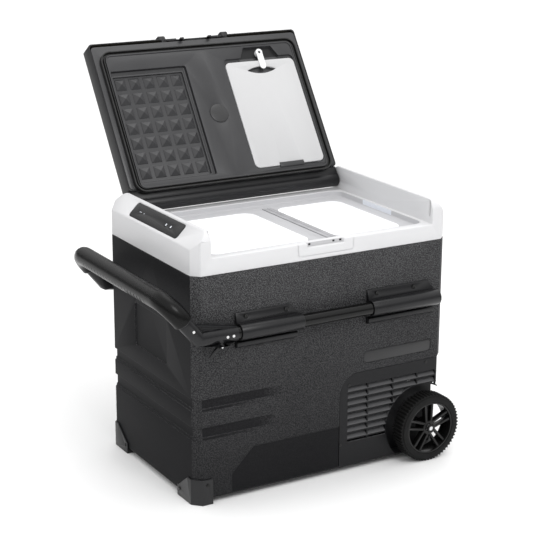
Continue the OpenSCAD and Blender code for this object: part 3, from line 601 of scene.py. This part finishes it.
def plate(box, radius, low, high, wall=0):
    """Plate with rounded corners between two heights, or a ring whose wall is that wide."""
    left, front, right, rear = box
    middle = ((left + right) / 2 * MM, (front + rear) / 2 * MM, low * MM)
    bpy.ops.mesh.primitive_plane_add(size=1, location=middle)
    piece = bpy.context.object
    piece.scale = ((right - left) * MM, (rear - front) * MM, 1)
    settle(piece)
    bpy.ops.object.mode_set(mode="EDIT")
    bpy.ops.mesh.select_all(action="SELECT")
    bpy.ops.mesh.bevel(offset=radius * MM, segments=8, affect="VERTICES")
    if wall:
        bpy.ops.mesh.select_all(action="SELECT")
        bpy.ops.mesh.inset(thickness=wall * MM, use_even_offset=True)
        bpy.ops.mesh.delete(type="FACE")
    bpy.ops.mesh.select_all(action="SELECT")
    bpy.ops.mesh.extrude_region_move(TRANSFORM_OT_translate={"value": (0, 0, (high - low) * MM)})
    bpy.ops.mesh.select_all(action="SELECT")
    bpy.ops.mesh.normals_make_consistent(inside=False)
    bpy.ops.object.mode_set(mode="OBJECT")
    return piece


def shrunk(box, by):
    left, front, right, rear = box
    return (left + by, front + by, right - by, rear - by)


def pyramid(width, depth, height):
    """Pyramid on a thin square foot, pointing down from z = 0."""
    bpy.ops.mesh.primitive_plane_add(size=1)
    piece = bpy.context.object
    piece.scale = (width * MM, depth * MM, 1)
    settle(piece)
    bpy.ops.object.mode_set(mode="EDIT")
    bpy.ops.mesh.select_all(action="SELECT")
    bpy.ops.mesh.extrude_region_move(TRANSFORM_OT_translate={"value": (0, 0, -0.9 * MM)})
    bpy.ops.transform.resize(value=(0.94, 0.94, 1), center_override=(0, 0, 0))
    bpy.ops.mesh.extrude_region_move(TRANSFORM_OT_translate={"value": (0, 0, (0.9 - height) * MM)})
    bpy.ops.transform.resize(value=(0.06, 0.06, 1), center_override=(0, 0, 0))
    bpy.ops.object.mode_set(mode="OBJECT")
    return piece


def add_waffle():
    """Grid of pyramids on the floor of the lid's pocket."""
    first, last = (-206.5, -89), (-74, 114.5)
    columns, rows = WAFFLE_STEPS
    seed = pyramid(24.5, 26.0, 6.6)
    pieces = [seed] + [copy_of(seed) for _ in range(columns * rows - 1)]
    for index, piece in enumerate(pieces):
        column, row = index % columns, index // columns
        piece.location = (
            (first[0] + (last[0] - first[0]) * column / (columns - 1)) * MM,
            (first[1] + (last[1] - first[1]) * row / (rows - 1)) * MM,
            (PLUG_Z + POCKET_DEPTH) * MM,
        )
    waffle = join(pieces, "waffle_grid")
    settle(waffle)
    face_outwards(waffle)
    opened(waffle)
    paint(waffle, "liner_plastic")
    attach(waffle, "lid")


def add_liner_edges():
    """Raised lip round the inner panel, and the step inside its pocket."""
    lip = plate(PLUG, 14, PLUG_Z - 1.4, PLUG_Z + 0.5, 3)
    step = plate((-225.5, -109, -54, 137.5), 5, PLUG_Z + 3.6, PLUG_Z + 8.05, 3.4)
    edges = join([lip, step], "liner_edges")
    rounded(edges, 0.7)
    opened(edges)
    paint(edges, "liner_plastic")
    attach(edges, "lid")


def add_gasket():
    """Seal with two lips and a groove between them."""
    outer = plate(GASKET, 24, 493.5, SEAL_Z, 3)
    inner = plate(shrunk(GASKET, 7), 17, 495.5, SEAL_Z, 2.6)
    web = plate(shrunk(GASKET, 0.4), 23.6, 500.5, SEAL_Z, 9)
    seal = join([outer, inner, web], "gasket_lips")
    rounded(seal, 0.9, 3)
    opened(seal)
    mounted(seal, "lid_gasket")


def add_recess_shade_sheet():
    """Thin grained black sheet on the floor of the finger recess above the cutting board: painted shade in the
    recess.
    """
    floor = plate((93, -148.4, 188, -117), 3, PLUG_Z + 6.7, PLUG_Z + 6.98)
    bpy.ops.object.mode_set(mode="EDIT")
    for at, normal in (((106, -149), (-25.2, -14)), ((176, -149), (25.2, -13))):
        bpy.ops.mesh.select_all(action="SELECT")
        bpy.ops.mesh.bisect(
            plane_co=((at[0] + (0.7 if normal[0] < 0 else -0.7)) * MM, at[1] * MM, 0),
            plane_no=(normal[0], normal[1], 0), use_fill=True, clear_outer=True)
    bpy.ops.mesh.select_all(action="SELECT")
    bpy.ops.mesh.normals_make_consistent(inside=False)
    bpy.ops.object.mode_set(mode="OBJECT")
    floor.name = "recess_shade_sheet"
    opened(floor)
    paint(floor, "black_plastic")
    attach(floor, "lid")


def add_strike_slot_shades():
    """Three black panes behind the slots of the strike: painted shade in the slots."""
    slot_shades = []
    for x in (-34, 22, 38):
        shade_pane = plate((x - 2.3, -182.15, x + 2.3, -181.4), 0.2, 497.7, 501.3)
        slot_shades.append(shade_pane)
    slot_shades = join(slot_shades, "strike_slot_shades")
    rounded(slot_shades, 0.1)
    paint(slot_shades, "black_plastic")
    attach(slot_shades, "cabinet")


def on_slope(piece):
    """Moves a piece made about the panel's middle onto the slope of the left raised end."""
    piece.data.transform(Matrix.Translation(SLOPE_AT * MM) @ Matrix.Rotation(-SLOPE, 4, "Y"))
    return piece


def add_panel_marks():
    """Three lamps on the control panel, and a blank mark on each of its keys."""
    lamps = [plate((-0.9, y - 0.9, 0.9, y + 0.9), 0.6, PANEL_Z, PANEL_Z + 0.25) for y in LAMP_Y]
    lamps = on_slope(join(lamps, "panel_lamps"))
    paint(lamps, "label_film")
    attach(lamps, "cabinet")
    for end, y in KEY_Y.items():
        mark = on_slope(plate((-2.3, y - 2.0, 2.3, y + 2.0), 1.2, PANEL_Z + 0.1, PANEL_Z + 0.3, 1.3))
        mark.name = end + "_key_mark"
        paint(mark, "label_film")
        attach(mark, "key_" + end)


def collar(place, ring_r, wire_r, lean):
    """Rounded ring about an axis that leans down from X by that angle."""
    bpy.ops.mesh.primitive_torus_add(
        major_radius=ring_r * MM, minor_radius=wire_r * MM, major_segments=48, minor_segments=12,
        location=[c * MM for c in place], rotation=(0, math.pi / 2 + lean, 0))
    piece = bpy.context.object
    settle(piece)
    smooth(piece)
    return piece


def add_collars():
    """Lips at the ends of the bracket barrels, and at the ends of the grip."""
    for side, end in SIDES:
        lips = join([collar((x, side * RAIL_Y, RAIL_Z), TUBE_R + 1.9, 1.5, 0) for x in (-69, 96, 258)],
                    end + "_barrel_lips")
        paint(lips, "bracket_plastic")
        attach(lips, "cabinet")
        ring = collar((ARM_JOINT[0], side * RAIL_Y, ARM_JOINT[1]), 16.2, 3.4, ARM_LEAN)
        ring.name = end + "_grip_collar"
        paint(ring, "bracket_plastic")
        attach(ring, "handle")


def add_gusset_ribs():
    """Ribs along the webs in the corners of the elbows."""
    for side, end in SIDES:
        ribs = []
        for start, stop in WEB_RIBS:
            length = math.hypot(stop[0] - start[0], stop[1] - start[1])
            lean = math.atan2(stop[1] - start[1], stop[0] - start[0])
            bpy.ops.mesh.primitive_cube_add(
                size=1, scale=(length * MM, 3 * MM, 1.6 * MM), rotation=(0, -lean, 0),
                location=((start[0] + stop[0]) / 2 * MM, side * 214.4 * MM, (start[1] + stop[1]) / 2 * MM))
            settle(bpy.context.object)
            ribs.append(bpy.context.object)
        piece = join(ribs, end + "_web_ribs")
        rounded(piece, 0.5)
        paint(piece, "bracket_plastic")
        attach(piece, "handle")


def add_hub_rings():
    """Black rings that leave only the middle of each axle cap bare."""
    low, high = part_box("axle_caps")
    for side, end, y in ((-1, "front", low[1]), (1, "rear", high[1])):
        bpy.ops.mesh.primitive_torus_add(
            major_radius=6.9 * MM, minor_radius=2.6 * MM, major_segments=48, minor_segments=12,
            location=((low[0] + high[0]) / 2, y - side * 0.8 * MM, (low[2] + high[2]) / 2),
            rotation=(math.pi / 2, 0, 0))
        ring = bpy.context.object
        ring.name = end + "_hub_ring"
        settle(ring)
        smooth(ring)
        paint(ring, "rim_plastic")
        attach(ring, BODY_OF["axle_caps"])


def build():
    finish_cad_pieces()
    add_waffle()
    add_liner_edges()
    add_gasket()
    add_recess_shade_sheet()
    add_strike_slot_shades()
    add_panel_marks()
    add_collars()
    add_gusset_ribs()
    add_hub_rings()


add_camera()
add_studio()
build()
